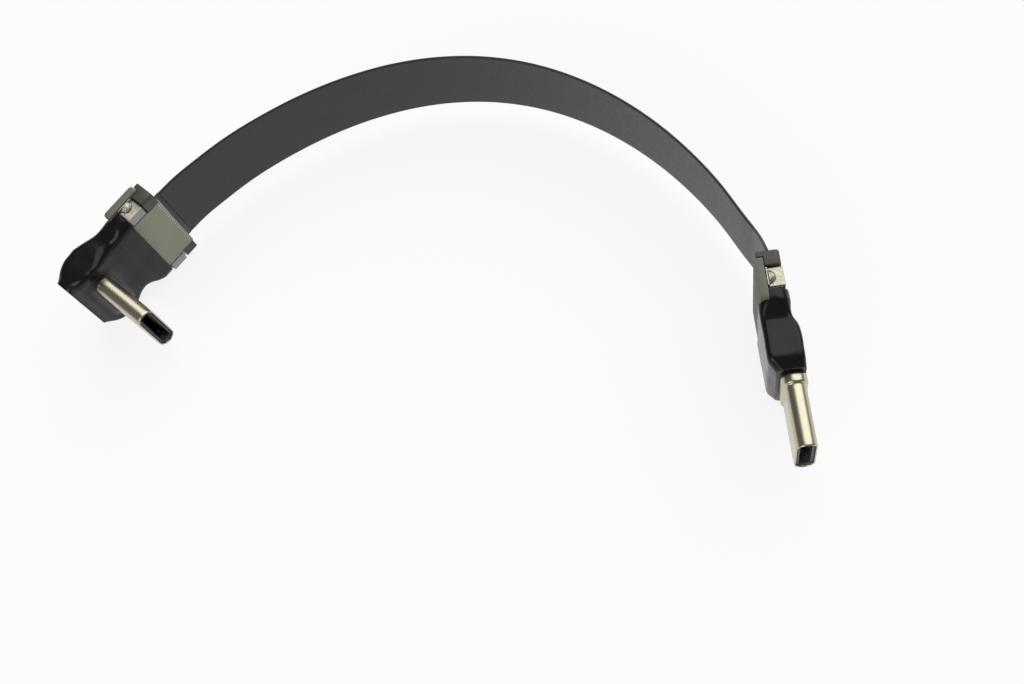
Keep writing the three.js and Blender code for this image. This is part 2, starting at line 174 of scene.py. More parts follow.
# Mouth of the shell: (distance back from the tip, growth outwards)
SHELL_RIM = [
    (0.6, 0), (0.24, 0), (0.12, -0.015), (0.036, -0.05), (0, -0.1), (0.02, -0.16),
    (0.1, -SHELL_WALL), (0.3, -SHELL_WALL),
]

# Collar: (distance from its front or back edge, share of its full height)
COLLAR_RISE = [(-0.25, 0), (-0.12, 0.15), (0, 0.7), (0.1, 1), (0.3, 1)]
COLLAR_FALL = [(-0.35, 1), (-0.15, 1), (-0.03, 0.7), (0.06, 0.15), (0.16, 0), (0.3, 0)]

# Broken edges
MERGE_DISTANCE = 1e-6
FLAT_ANGLE = math.radians(1)
EDGE_ANGLE = math.radians(35)
SHARP_ANGLE = math.radians(50)
FACES_UP = 0.8
CONTACT_EDGE = 0.2

# Look
LAMPS = {
    "high right": {"direction": (0.36, 0.5, 0.79), "distance": 2.0, "size": 3.2, "power": 47},
    "front fill": {"direction": (-0.55, -0.65, 0.6), "distance": 2.2, "size": 1.4, "power": 13},
}
WORLD_STRENGTH = 0.14
FLOOR_SIZE = 6
FLOOR_CELLS = 4
FLOOR_COLOUR = (0.93, 0.93, 0.925, 1)
FLOOR_ROUGHNESS = 0.9
FLOOR_GLOW = 0.85
BROAD_DETAIL = 4
FINE_DETAIL = 6
FINE_PER_BROAD = 9.0
NOISE_LOW = 0.3
NOISE_HIGH = 0.7


def end_place(mouth, turn):
    """The end's own millimetres to the row frame in metres."""
    shift = Matrix.Translation((mouth[0] * MM, mouth[1] * MM, STAND_HEIGHT * MM))
    return shift @ Matrix.Rotation(math.radians(turn), 4, "Z") @ Matrix.Scale(MM, 4)


LEFT = end_place(LEFT_MOUTH, LEFT_TURN)
RIGHT = end_place(RIGHT_MOUTH, RIGHT_TURN)


# Camera, lamps, world and floor

def make_camera():
    data = bpy.data.cameras.new("camera")
    data.lens = CAMERA_LENS
    data.sensor_width = SENSOR_WIDTH
    data.sensor_fit = "HORIZONTAL"
    data.clip_start = 0.001
    camera = bpy.data.objects.new("camera", data)
    turn = Matrix((CAMERA_RIGHT, -CAMERA_DOWN, -CAMERA_FORWARD)).transposed()
    camera.matrix_world = Matrix.Translation(CAMERA_PLACE) @ turn.to_4x4()
    bpy.context.scene.collection.objects.link(camera)
    bpy.context.scene.camera = camera


def add_lamp(name, direction, distance, size, power):
    data = bpy.data.lights.new(name, "AREA")
    data.shape = "DISK"
    data.size = size
    data.energy = power
    lamp = bpy.data.objects.new(name, data)
    way = Vector(direction).normalized()
    turn = way.to_track_quat("Z", "Y").to_matrix().to_4x4()
    lamp.matrix_world = Matrix.Translation(way * distance) @ turn
    bpy.context.scene.collection.objects.link(lamp)


def make_studio():
    world = bpy.data.worlds.new("studio")
    world.use_nodes = True
    background = world.node_tree.nodes["Background"]
    background.inputs["Color"].default_value = (1, 1, 1, 1)
    background.inputs["Strength"].default_value = WORLD_STRENGTH
    bpy.context.scene.world = world
    for name, lamp in LAMPS.items():
        add_lamp(name, **lamp)
    bpy.ops.mesh.primitive_grid_add(
        size=FLOOR_SIZE, x_subdivisions=FLOOR_CELLS, y_subdivisions=FLOOR_CELLS)
    floor = bpy.context.object
    floor.name = "floor"
    floor.data.materials.append(make_floor_white())


def make_floor_white():
    """Pale floor that the camera and mirror surfaces see nearly white, with the shadow kept."""
    material = plain_material("floor", FLOOR_COLOUR, FLOOR_ROUGHNESS)
    nodes = material.node_tree.nodes
    links = material.node_tree.links
    rays = nodes.new("ShaderNodeLightPath")
    glossy = nodes.new("ShaderNodeMath")
    glossy.operation = "MAXIMUM"
    seen = nodes.new("ShaderNodeMath")
    seen.operation = "MAXIMUM"
    part = nodes.new("ShaderNodeMath")
    part.operation = "MULTIPLY"
    part.inputs[1].default_value = FLOOR_GLOW
    white = nodes.new("ShaderNodeEmission")
    blend = nodes.new("ShaderNodeMixShader")
    links.new(rays.outputs["Is Camera Ray"], glossy.inputs[0])
    links.new(rays.outputs["Is Glossy Ray"], glossy.inputs[1])
    links.new(glossy.outputs[0], seen.inputs[0])
    links.new(rays.outputs["Is Transmission Ray"], seen.inputs[1])
    links.new(seen.outputs[0], part.inputs[0])
    links.new(part.outputs[0], blend.inputs["Fac"])
    links.new(nodes["Principled BSDF"].outputs[0], blend.inputs[1])
    links.new(white.outputs[0], blend.inputs[2])
    links.new(blend.outputs[0], nodes["Material Output"].inputs["Surface"])
    return material


# Materials

def plain_material(name, colour, roughness, metallic=0.0, specular=0.5):
    material = bpy.data.materials.new(name)
    material.use_nodes = True
    shader = material.node_tree.nodes["Principled BSDF"]
    shader.inputs["Base Color"].default_value = colour
    shader.inputs["Roughness"].default_value = roughness
    shader.inputs["Metallic"].default_value = metallic
    shader.inputs["Specular IOR Level"].default_value = specular
    return material


def make_speckle_group():
    """Mottled colour, roughness and height: the small unevenness that every surface here has."""
    group = bpy.data.node_groups.new("uneven surface", "ShaderNodeTree")
    face = group.interface
    face.new_socket("Place", in_out="INPUT", socket_type="NodeSocketVector")
    face.new_socket("Scale", in_out="INPUT", socket_type="NodeSocketFloat")
    face.new_socket("Dark", in_out="INPUT", socket_type="NodeSocketColor")
    face.new_socket("Light", in_out="INPUT", socket_type="NodeSocketColor")
    face.new_socket("Smoothest", in_out="INPUT", socket_type="NodeSocketFloat")
    face.new_socket("Roughest", in_out="INPUT", socket_type="NodeSocketFloat")
    face.new_socket("Colour", in_out="OUTPUT", socket_type="NodeSocketColor")
    face.new_socket("Roughness", in_out="OUTPUT", socket_type="NodeSocketFloat")
    face.new_socket("Height", in_out="OUTPUT", socket_type="NodeSocketFloat")
    nodes = group.nodes
    links = group.links
    given = nodes.new("NodeGroupInput")
    result = nodes.new("NodeGroupOutput")
    broad = nodes.new("ShaderNodeTexNoise")
    broad.inputs["Detail"].default_value = BROAD_DETAIL
    fine = nodes.new("ShaderNodeTexNoise")
    fine.inputs["Detail"].default_value = FINE_DETAIL
    finer = nodes.new("ShaderNodeMath")
    finer.operation = "MULTIPLY"
    finer.inputs[1].default_value = FINE_PER_BROAD
    colour = nodes.new("ShaderNodeMix")
    colour.data_type = "RGBA"
    rough = nodes.new("ShaderNodeMapRange")
    rough.inputs["From Min"].default_value = NOISE_LOW
    rough.inputs["From Max"].default_value = NOISE_HIGH
    height = nodes.new("ShaderNodeMath")
    height.operation = "ADD"
    links.new(given.outputs["Place"], broad.inputs["Vector"])
    links.new(given.outputs["Place"], fine.inputs["Vector"])
    links.new(given.outputs["Scale"], broad.inputs["Scale"])
    links.new(given.outputs["Scale"], finer.inputs[0])
    links.new(finer.outputs[0], fine.inputs["Scale"])
    links.new(broad.outputs["Fac"], colour.inputs["Factor"])
    links.new(given.outputs["Dark"], colour.inputs["A"])
    links.new(given.outputs["Light"], colour.inputs["B"])
    links.new(fine.outputs["Fac"], rough.inputs["Value"])
    links.new(given.outputs["Smoothest"], rough.inputs["To Min"])
    links.new(given.outputs["Roughest"], rough.inputs["To Max"])
    links.new(broad.outputs["Fac"], height.inputs[0])
    links.new(fine.outputs["Fac"], height.inputs[1])
    links.new(colour.outputs["Result"], result.inputs["Colour"])
    links.new(rough.outputs["Result"], result.inputs["Roughness"])
    links.new(height.outputs[0], result.inputs["Height"])
    return group


def uneven_material(name, dark, light, scale, smoothest, roughest, bump, metallic=0.0, specular=0.5):
    material = plain_material(name, light, roughest, metallic, specular)
    nodes = material.node_tree.nodes
    links = material.node_tree.links
    shader = nodes["Principled BSDF"]
    place = nodes.new("ShaderNodeTexCoord")
    surface = nodes.new("ShaderNodeGroup")
    surface.name = "surface"
    surface.node_tree = UNEVEN
    surface.inputs["Scale"].default_value = scale
    surface.inputs["Dark"].default_value = dark
    surface.inputs["Light"].default_value = light
    surface.inputs["Smoothest"].default_value = smoothest
    surface.inputs["Roughest"].default_value = roughest
    relief = nodes.new("ShaderNodeBump")
    relief.name = "relief"
    relief.inputs["Strength"].default_value = 1.0
    relief.inputs["Distance"].default_value = bump
    links.new(place.outputs["Object"], surface.inputs["Place"])
    links.new(surface.outputs["Colour"], shader.inputs["Base Color"])
    links.new(surface.outputs["Roughness"], shader.inputs["Roughness"])
    links.new(surface.outputs["Height"], relief.inputs["Height"])
    links.new(relief.outputs["Normal"], shader.inputs["Normal"])
    return material


UNEVEN = make_speckle_group()
RIBBON_BLACK = uneven_material(
    "ribbon black", dark=(0.013, 0.0145, 0.0135, 1), light=(0.02, 0.022, 0.021, 1),
    scale=220, smoothest=0.38, roughest=0.46, bump=1.5e-6, specular=0.4)
STIFFENER_BLUE = uneven_material(
    "stiffener blue", dark=(0.022, 0.027, 0.04, 1), light=(0.03, 0.036, 0.052, 1),
    scale=300, smoothest=0.3, roughest=0.42, bump=3e-6)
HOUSING_BEIGE = uneven_material(
    "housing beige", dark=(0.325, 0.325, 0.26, 1), light=(0.38, 0.38, 0.305, 1),
    scale=500, smoothest=0.45, roughest=0.62, bump=2e-6)
SLIDER_BROWN = uneven_material(
    "slider brown", dark=(0.056, 0.051, 0.043, 1), light=(0.085, 0.078, 0.066, 1),
    scale=500, smoothest=0.4, roughest=0.6, bump=4e-6)
BRACKET_TIN = uneven_material(
    "bracket tin", dark=(0.27, 0.262, 0.265, 1), light=(0.35, 0.34, 0.345, 1),
    scale=900, smoothest=0.4, roughest=0.6, bump=4e-6, metallic=1.0)
# Steel darkened to nearly black: painted shade for the latch deep in the plug's mouth, not the steel's own
# colour.
LATCH_STEEL_PAINTED_SHADE = uneven_material(
    "latch steel darkened as painted shade", dark=(0.05, 0.05, 0.05, 1), light=(0.08, 0.08, 0.08, 1),
    scale=900, smoothest=0.3, roughest=0.45, bump=2e-6, metallic=1.0)
SOLDER_BRIGHT = uneven_material(
    "solder", dark=(0.25, 0.24, 0.17, 1), light=(0.62, 0.6, 0.48, 1),
    scale=900, smoothest=0.25, roughest=0.5, bump=60e-6, metallic=1.0)
BOARD_LAMINATE = uneven_material(
    "board laminate", dark=(0.13, 0.137, 0.105, 1), light=(0.18, 0.187, 0.148, 1),
    scale=1500, smoothest=0.6, roughest=0.8, bump=10e-6)
SHRINK_BLACK = uneven_material(
    "heat-shrink black", dark=(0.006, 0.0065, 0.006, 1), light=(0.009, 0.0095, 0.009, 1),
    scale=120, smoothest=0.24, roughest=0.27, bump=0.4e-6, specular=0.25)
SHELL_NICKEL = uneven_material(
    "shell nickel", dark=(0.5, 0.47, 0.35, 1), light=(0.54, 0.51, 0.385, 1),
    scale=200, smoothest=0.29, roughest=0.32, bump=0.05e-6, metallic=1.0)
INSERT_BLACK = uneven_material(
    "insert black", dark=(0.03, 0.035, 0.038, 1), light=(0.045, 0.052, 0.056, 1),
    scale=600, smoothest=0.4, roughest=0.6, bump=1e-6)
CONTACT_GOLD = uneven_material(
    "contact gold", dark=(0.14, 0.11, 0.06, 1), light=(0.2, 0.16, 0.09, 1),
    scale=1500, smoothest=0.35, roughest=0.5, bump=2e-6, metallic=1.0)
CONTACT_TIN = uneven_material(
    "contact tin", dark=(0.6, 0.6, 0.56, 1), light=(0.85, 0.85, 0.8, 1),
    scale=1500, smoothest=0.4, roughest=0.55, bump=2e-6, metallic=0.5)


def mark_ribbon():
    """Conductors showing through the film as faint lines, and the bluish film over the stiffened ends."""
    nodes = RIBBON_BLACK.node_tree.nodes
    links = RIBBON_BLACK.node_tree.links
    shader = nodes["Principled BSDF"]
    surface = nodes["surface"]
    relief = nodes["relief"]
    film = nodes.new("ShaderNodeUVMap")
    film.uv_map = "film"
    split = nodes.new("ShaderNodeSeparateXYZ")
    turns = nodes.new("ShaderNodeMath")
    turns.operation = "MULTIPLY"
    turns.inputs[1].default_value = 2 * math.pi * (WAYS + 1)
    ridge = nodes.new("ShaderNodeMath")
    ridge.operation = "COSINE"
    ridge_part = nodes.new("ShaderNodeMath")
    ridge_part.operation = "MULTIPLY"
    ridge_part.inputs[1].default_value = RIDGE_DEPTH
    height = nodes.new("ShaderNodeMath")
    height.operation = "ADD"
    ends = nodes.new("ShaderNodeValToRGB")
    ramp = ends.color_ramp
    ramp.elements[0].position = 0.0
    ramp.elements[0].color = (1, 1, 1, 1)
    ramp.elements[1].position = LEFT_BLUE / FILM_UNIT
    ramp.elements[1].color = (0, 0, 0, 1)
    back = ramp.elements.new((RIBBON_LENGTH - RIGHT_BLUE) / FILM_UNIT)
    back.color = (0, 0, 0, 1)
    full = ramp.elements.new((RIBBON_LENGTH - RIGHT_BLUE + BLUE_FADE) / FILM_UNIT)
    full.color = (1, 1, 1, 1)
    tint = nodes.new("ShaderNodeMix")
    tint.data_type = "RGBA"
    tint.inputs["B"].default_value = FILM_BLUE
    links.new(film.outputs["UV"], split.inputs[0])
    links.new(split.outputs["Y"], turns.inputs[0])
    links.new(turns.outputs[0], ridge.inputs[0])
    links.new(ridge.outputs[0], ridge_part.inputs[0])
    links.new(ridge_part.outputs[0], height.inputs[0])
    links.new(surface.outputs["Height"], height.inputs[1])
    links.new(height.outputs[0], relief.inputs["Height"])
    links.new(split.outputs["X"], ends.inputs["Fac"])
    links.new(ends.outputs["Color"], tint.inputs["Factor"])
    links.new(surface.outputs["Colour"], tint.inputs["A"])
    links.new(tint.outputs["Result"], shader.inputs["Base Color"])


mark_ribbon()


# Meshes

def shown(mesh, name, materials):
    piece = bpy.data.objects.new(name, mesh)
    for material in materials:
        mesh.materials.append(material)
    bpy.context.scene.collection.objects.link(piece)
    return piece


def applied(piece):
    """The piece's modifiers made part of its mesh."""
    graph = bpy.context.evaluated_depsgraph_get()
    made = bpy.data.meshes.new_from_object(piece.evaluated_get(graph))
    made.name = piece.name
    piece.modifiers.clear()
    old = piece.data
    piece.data = made
    bpy.data.meshes.remove(old)
    return piece


def softened_copy(node, name, width, material):
    """A copy of a moulded or stamped solid with its edges broken."""
    work = bmesh.new()
    work.from_mesh(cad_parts[node].data)
    bmesh.ops.remove_doubles(work, verts=work.verts, dist=MERGE_DISTANCE)
    bmesh.ops.dissolve_limit(work, angle_limit=FLAT_ANGLE, verts=work.verts, edges=work.edges)
    mesh = bpy.data.meshes.new(name)
    work.to_mesh(mesh)
    work.free()
    piece = shown(mesh, name, [material])
    edge = piece.modifiers.new("broken edges", "BEVEL")
    edge.width = width * MM
    edge.segments = 2
    edge.limit_method = "ANGLE"
    edge.angle_limit = EDGE_ANGLE
    edge.use_clamp_overlap = True
    edge.harden_normals = True
    for polygon in mesh.polygons:
        polygon.use_smooth = True
    return applied(piece)


def wet_with_solder(piece):
    """The hold-downs' sides, which solder has run over, take the solder's finish."""
    piece.data.materials.append(SOLDER_BRIGHT)
    for polygon in piece.data.polygons:
        if abs(polygon.normal.z) > FACES_UP:
            polygon.material_index = 1


def finished(piece, nodes, body):
    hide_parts(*nodes)
    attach(piece, body)


def smooth_route(points, steps):
    """A centripetal curve through the points."""
    given = [Vector((x, y, STAND_HEIGHT * MM)) for x, y in points]
    ends = [2 * given[0] - given[1], *given, 2 * given[-1] - given[-2]]
    line = []
    for i in range(1, len(ends) - 2):
        p0, p1, p2, p3 = ends[i - 1:i + 3]
        d0, d1, d2 = (math.sqrt((b - a).length) for a, b in ((p0, p1), (p1, p2), (p2, p3)))
        t1 = ((p1 - p0) / d0 - (p2 - p0) / (d0 + d1) + (p2 - p1) / d1) * d1
        t2 = ((p2 - p1) / d1 - (p3 - p1) / (d1 + d2) + (p3 - p2) / d2) * d1
        for k in range(steps):
            t = k / steps
            line.append(
                p1 * (2 * t ** 3 - 3 * t ** 2 + 1) + t1 * (t ** 3 - 2 * t ** 2 + t)
                + p2 * (3 * t ** 2 - 2 * t ** 3) + t2 * (t ** 3 - t ** 2))
    line.append(given[-1])
    return line


def make_ribbon():
    """The free ribbon, reaching a hair past its route to meet the stiffened ends."""
    line = smooth_route(ROUTE, STEPS_PER_GAP)
    half = RIBBON_WIDTH / 2
    deep = RIBBON_THICKNESS / 2
    reach = RIBBON_REACH * MM
    side = half - RIBBON_EDGE
    turned = half - RIBBON_EDGE_TURN
    dropped = deep * RIBBON_EDGE_DROP
    shown_line = [line[0] + (line[0] - line[1]).normalized() * reach, *line[1:-1],
                  line[-1] + (line[-1] - line[-2]).normalized() * reach]
    flat = [(-side + 2 * side * k / RIBBON_COLUMNS, deep) for k in range(RIBBON_COLUMNS)]
    edge = [(side, deep), (turned, dropped), (half, 0), (turned, -dropped)]
    section = flat + edge + [(-z, -y) for z, y in flat + edge]
    work = bmesh.new()
    film = work.loops.layers.uv.new("film")
    rings = []
    walked = [0.0]
    for a, b in zip(line, line[1:]):
        walked.append(walked[-1] + (b - a).length)
    for i, point in enumerate(shown_line):
        along = (line[min(i + 1, len(line) - 1)] - line[max(i - 1, 0)]).normalized()
        across = Vector((along.y, -along.x, 0))
        spots = [point + across * (y * MM) + Vector((0, 0, z * MM)) for z, y in section]
        rings.append([work.verts.new(spot) for spot in spots])
    count = len(section)
    for i in range(len(rings) - 1):
        for k in range(count):
            n = (k + 1) % count
            face = work.faces.new((rings[i][k], rings[i][n], rings[i + 1][n], rings[i + 1][k]))
            corners = ((i, k), (i, n), (i + 1, n), (i + 1, k))
            for loop, (ring, spot) in zip(face.loops, corners):
                loop[film].uv = (walked[ring] / MM / FILM_UNIT, section[spot][0] / RIBBON_WIDTH + 0.5)
            face.smooth = True
    work.faces.new(rings[0])
    work.faces.new(list(reversed(rings[-1])))
    bmesh.ops.recalc_face_normals(work, faces=work.faces)
    mesh = bpy.data.meshes.new("flat_ribbon")
    work.to_mesh(mesh)
    work.free()
    piece = shown(mesh, "flat_ribbon", [RIBBON_BLACK])
    finished(piece, ["ribbon"], "cable")


def section_at(sections, x):
    """The section at x, rounded off where the list has a corner."""
    total = [0.0] * 4
    steps = range(-SMOOTHING_STEPS, SMOOTHING_STEPS + 1)
    spots = [x + SMOOTHING * k / SMOOTHING_STEPS for k in steps]
    for spot in spots:
        spot = min(max(spot, sections[0][0]), sections[-1][0])
        for a, b in zip(sections, sections[1:]):
            if spot <= b[0]:
                t = (spot - a[0]) / (b[0] - a[0])
                total = [v + p + (q - p) * t for v, p, q in zip(total, a[1:], b[1:])]
                break
    return [v / len(spots) for v in total]


def rounded_ring(half, low, high, corner, count):
    """Points (z, y) spaced evenly round a rounded rectangle, from the low end of its +Z side."""
    deep = (high - low) / 2
    middle = (high + low) / 2
    r = min(corner, deep * FULLEST_CORNER, half * FULLEST_CORNER)
    flat_z = half - r
    flat_y = deep - r
    arc = r * math.pi / 2
    centres = [(flat_z, flat_y), (-flat_z, flat_y), (-flat_z, -flat_y), (flat_z, -flat_y)]
    flats = [2 * flat_y, 2 * flat_z, 2 * flat_y, 2 * flat_z]
    total = sum(flats) + 4 * arc
    ring = []
    for k in range(count):
        s = total * k / count
        turn = 0
        while turn < 3 and s > flats[turn] + arc:
            s -= flats[turn] + arc
            turn += 1
        z, y = centres[turn]
        back = max(flats[turn] - s, 0)
        angle = turn * math.pi / 2 + max(s - flats[turn], 0) / r
        z += r * math.cos(angle) + back * math.sin(angle)
        y += r * math.sin(angle) - back * math.cos(angle)
        ring.append((z, middle + y))
    return ring


# Sections of the skin across X: (x, half width, low, high, corner)
SHOULDER = [
    (SHRINK_FRONT, WING_HALF, SHRINK_UNDER, SHRINK_OVER, WING_SLOPE),
    (WING_END, WING_HALF, SHRINK_UNDER, SHRINK_OVER, WING_SLOPE),
    (WING_END + 0.6, (WING_HALF * 2 + NECK_HALF) / 3, SHRINK_UNDER, SHRINK_OVER, WING_SLOPE * 0.6),
    (WING_END + 1.3, (WING_HALF + NECK_HALF * 4) / 5, SHRINK_UNDER, SHRINK_OVER - DIP / 2, CORNER),
]
PLUG_HALF = PLUG_THICKNESS / 2
LEFT_PLUG_NEAR = LEFT_PLUG_AXIS - PLUG_HALF
LEFT_PLUG_FAR = LEFT_PLUG_AXIS + PLUG_HALF
LEFT_SHRINK = SHOULDER + [
    (LEFT_PLUG_NEAR - 2.6, NECK_HALF, SHRINK_UNDER - SWELL * 0.5, SHRINK_OVER - DIP, CORNER * 2),
    (LEFT_PLUG_NEAR - 0.8, NECK_HALF + 0.1, SHRINK_UNDER - SWELL * 0.9, SHRINK_OVER - DIP / 2, CORNER * 2),
    (LEFT_PLUG_NEAR, NECK_HALF + 0.1, SHRINK_UNDER - SWELL, SHRINK_OVER, CORNER),
    (LEFT_PLUG_FAR, NECK_HALF + 0.1, SHRINK_UNDER - SWELL * 0.9, SHRINK_OVER, CORNER),
    (LEFT_SHRINK_END - 1.3, NECK_HALF, SHRINK_UNDER - SWELL * 0.6, SHRINK_OVER - DIP / 2, CORNER * 2),
    (LEFT_SHRINK_END - 0.5, NECK_HALF - NIP * 0.4,
     SHRINK_UNDER - SWELL * 0.3, SHRINK_OVER - DIP, CORNER * 2),
    (LEFT_SHRINK_END, NECK_HALF - NIP * 1.4, SHRINK_UNDER, SHRINK_OVER - DIP * 1.8, CORNER),
]
RIGHT_OVER = RIGHT_PLUG_RISE + PLUG_HALF + SHRINK_GAP + SHRINK_WALL
RIGHT_SHRINK = SHOULDER + [
    (RIGHT_PLUG_REAR - 0.8, NECK_HALF + 0.05, SHRINK_UNDER, RIGHT_OVER - 0.1, CORNER),
    (RIGHT_PLUG_REAR + 0.6, NECK_HALF + 0.1, SHRINK_UNDER, RIGHT_OVER, CORNER),
    (RIGHT_NECK_END + 0.2, NECK_HALF, SHRINK_UNDER, RIGHT_OVER, CORNER),
    (RIGHT_SHRINK_END - 0.5, NECK_HALF - NIP * 0.5, SHRINK_UNDER + NIP * 0.3, RIGHT_OVER, CORNER * 1.5),
    (RIGHT_SHRINK_END, NECK_HALF - NIP * 1.1, SHRINK_UNDER + NIP * 1.3, RIGHT_OVER - 0.1, CORNER * 1.5),
]


def cut_away(piece, low, high):
    """Takes a box, given by two corners in the end's own millimetres, out of the piece."""
    work = bmesh.new()
    bmesh.ops.create_cube(work, size=1)
    middle = [(a + b) / 2 for a, b in zip(low, high)]
    size = [b - a for a, b in zip(low, high)]
    bmesh.ops.scale(work, vec=size, verts=work.verts)
    bmesh.ops.translate(work, vec=middle, verts=work.verts)
    mesh = bpy.data.meshes.new("cutter")
    work.to_mesh(mesh)
    work.free()
    cutter = shown(mesh, "cutter", [])
    cut = piece.modifiers.new("cut", "BOOLEAN")
    cut.operation = "DIFFERENCE"
    cut.object = cutter
    cut.solver = "EXACT"
    applied(piece)
    bpy.data.objects.remove(cutter)
    bpy.data.meshes.remove(mesh)


def make_heat_shrink(side, place, sections, seed):
    """The drawn-down sleeve: shallow creases, a rolled front edge and a lip at the left plug."""
    start = sections[0][0]
    stop = sections[-1][0]
    rings = []
    work = bmesh.new()

    def ring_at(x, thinner, creased):
        half, low, high, corner = section_at(sections, x)
        ring = []
        middle = (low + high) / 2
        outline = rounded_ring(half - thinner, low + thinner, high - thinner, corner, SHRINK_AROUND)
        for z, y in outline:
            spot = Vector((x, y, z))
            broad = noise.noise(spot * WAVE_RATE + Vector((seed, 0, 0))) * WAVE_DEPTH + WAVE_DEPTH
            crease = noise.noise(spot * Vector(CREASE_RATE) + Vector((0, 0, seed))) * CREASE_DEPTH
            inward = (broad + crease) * creased
            y += math.copysign(inward, middle - y)
            z -= math.copysign(inward, z) if abs(z) > half - corner else 0
            if side == "left" and y > middle:
                y += lip_at_plug(x, z)
            ring.append(work.verts.new((x, y, z)))
        return ring

    for back, thinner, creased in FRONT_RINGS:
        rings.append(ring_at(start + back, thinner, creased))
    run = stop - start - FRONT_ROLL
    for i in range(SHRINK_STATIONS):
        rings.append(ring_at(start + FRONT_ROLL + run * i / (SHRINK_STATIONS - 1), 0, 1))
    rings.append(ring_at(stop + END_STEP, END_CLOSING, 1))
    for ring, ahead in zip(rings, rings[1:]):
        for k in range(SHRINK_AROUND):
            n = (k + 1) % SHRINK_AROUND
            work.faces.new((ring[k], ring[n], ahead[n], ahead[k]))
    work.faces.new(rings[0])
    work.faces.new(rings[-1])
    bmesh.ops.recalc_face_normals(work, faces=work.faces)
    mesh = bpy.data.meshes.new(side + "_sleeve")
    work.to_mesh(mesh)
    work.free()
    piece = shown(mesh, side + "_sleeve", [SHRINK_BLACK])
    low = (0, -CLEAR_OF_ALL, -CLEAR_OF_ALL)
    high = (WING_END + SHRINK_GAP, COMPONENT_FACE + SHRINK_GAP, CLEAR_OF_ALL)
    cut_away(piece, low, high)
    for polygon in piece.data.polygons:
        polygon.use_smooth = True
    piece.data.set_sharp_from_angle(angle=SHARP_ANGLE)
    piece.data.transform(place)
    finished(piece, [side + "_heat_shrink"], "cable")


def lip_at_plug(x, z):
    """How far the skin climbs where the left plug comes through it."""
    flat = max(abs(z) - (PLUG_WIDTH - PLUG_THICKNESS) / 2, 0)
    away = math.hypot(x - LEFT_PLUG_AXIS, flat) - PLUG_HALF
    return LIP_HEIGHT * math.exp(-(max(away, 0) / LIP_SPREAD) ** 2)


def stadium(width, height):
    """Points (z, y) round a plug's outline: two straight sides with fully round ends."""
    half = (width - height) / 2
    r = height / 2
    angles = [math.pi * k / ROUND_STEPS for k in range(ROUND_STEPS + 1)]
    ring = [(half + r * math.sin(angle), -r * math.cos(angle)) for angle in angles]
    return ring + [(-z, -y) for z, y in ring]


def make_shell(side, place, length, collar):
    """The drawn shell: a turned-in rim at the mouth, a bore, and a pressed collar on the straight one."""
    outline = [(0, 0), (0.1, 0)]
    if collar:
        front, back = collar
        full = (COLLAR_THICKNESS - PLUG_THICKNESS) / 2
        outline += [(front + past, full * share) for past, share in COLLAR_RISE]
        outline += [(back + past, full * share) for past, share in COLLAR_FALL]
    outline += [(length - back, grow) for back, grow in SHELL_RIM]
    outline += [(0.1, -SHELL_WALL), (0, -SHELL_WALL)]
    work = bmesh.new()
    rings = []
    for x, grow in outline:
        ring = stadium(PLUG_WIDTH + 2 * grow, PLUG_THICKNESS + 2 * grow)
        rings.append([work.verts.new((x, y, z)) for z, y in ring])
    count = len(rings[0])
    for ring, ahead in zip(rings, rings[1:] + rings[:1]):
        for k in range(count):
            n = (k + 1) % count
            face = work.faces.new((ring[k], ring[n], ahead[n], ahead[k]))
            face.smooth = True
    bmesh.ops.recalc_face_normals(work, faces=work.faces)
    work.transform(place)
    mesh = bpy.data.meshes.new(side + "_shell")
    work.to_mesh(mesh)
    work.free()
    mesh.set_sharp_from_angle(angle=SHARP_ANGLE)
    piece = shown(mesh, side + "_shell", [SHELL_NICKEL])
    finished(piece, [side + "_plug_shell"], "cable")


def make_solder(side, which, place, seed):
    """Solder that has run up from the board on to the hold-down, in two lobes."""
    node_low, node_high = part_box(f"{side}_solder_{which}")
    wide, tall, deep = SOLDER_SIZE
    work = bmesh.new()
    bmesh.ops.create_icosphere(work, subdivisions=5, radius=1.0)
    for vert in work.verts:
        x, y, z = vert.co
        lump = noise.noise(vert.co * SOLDER_LUMP_RATE + Vector((seed, 0, 0)))
        lobe = 1 + SOLDER_LOBE * math.cos(SOLDER_LOBE_RATE * x) + SOLDER_LUMP * lump
        y = max(y, SOLDER_SINK)
        z = max(z, SOLDER_SINK)
        vert.co = Vector((x * wide * lobe, y * tall * lobe, z * deep * lobe))
    bmesh.ops.remove_doubles(work, verts=work.verts, dist=SOLDER_MERGE)
    bmesh.ops.transform(work, matrix=Matrix.Translation(SOLDER_PLACE), verts=work.verts)
    if which == "lower":
        bmesh.ops.scale(work, vec=(1, 1, -1), verts=work.verts)
    bmesh.ops.recalc_face_normals(work, faces=work.faces)
    for face in work.faces:
        face.smooth = True
    work.transform(place)
    mesh = bpy.data.meshes.new(f"{side}_solder_fillet_{which}")
    work.to_mesh(mesh)
    work.free()
    spill = SOLDER_SPILL * MM
    for vert in mesh.vertices:
        for axis in range(3):
            vert.co[axis] = min(max(vert.co[axis], node_low[axis] - spill), node_high[axis] + spill)
    piece = shown(mesh, f"{side}_solder_fillet_{which}", [SOLDER_BRIGHT])
    finished(piece, [f"{side}_solder_{which}"], "cable")


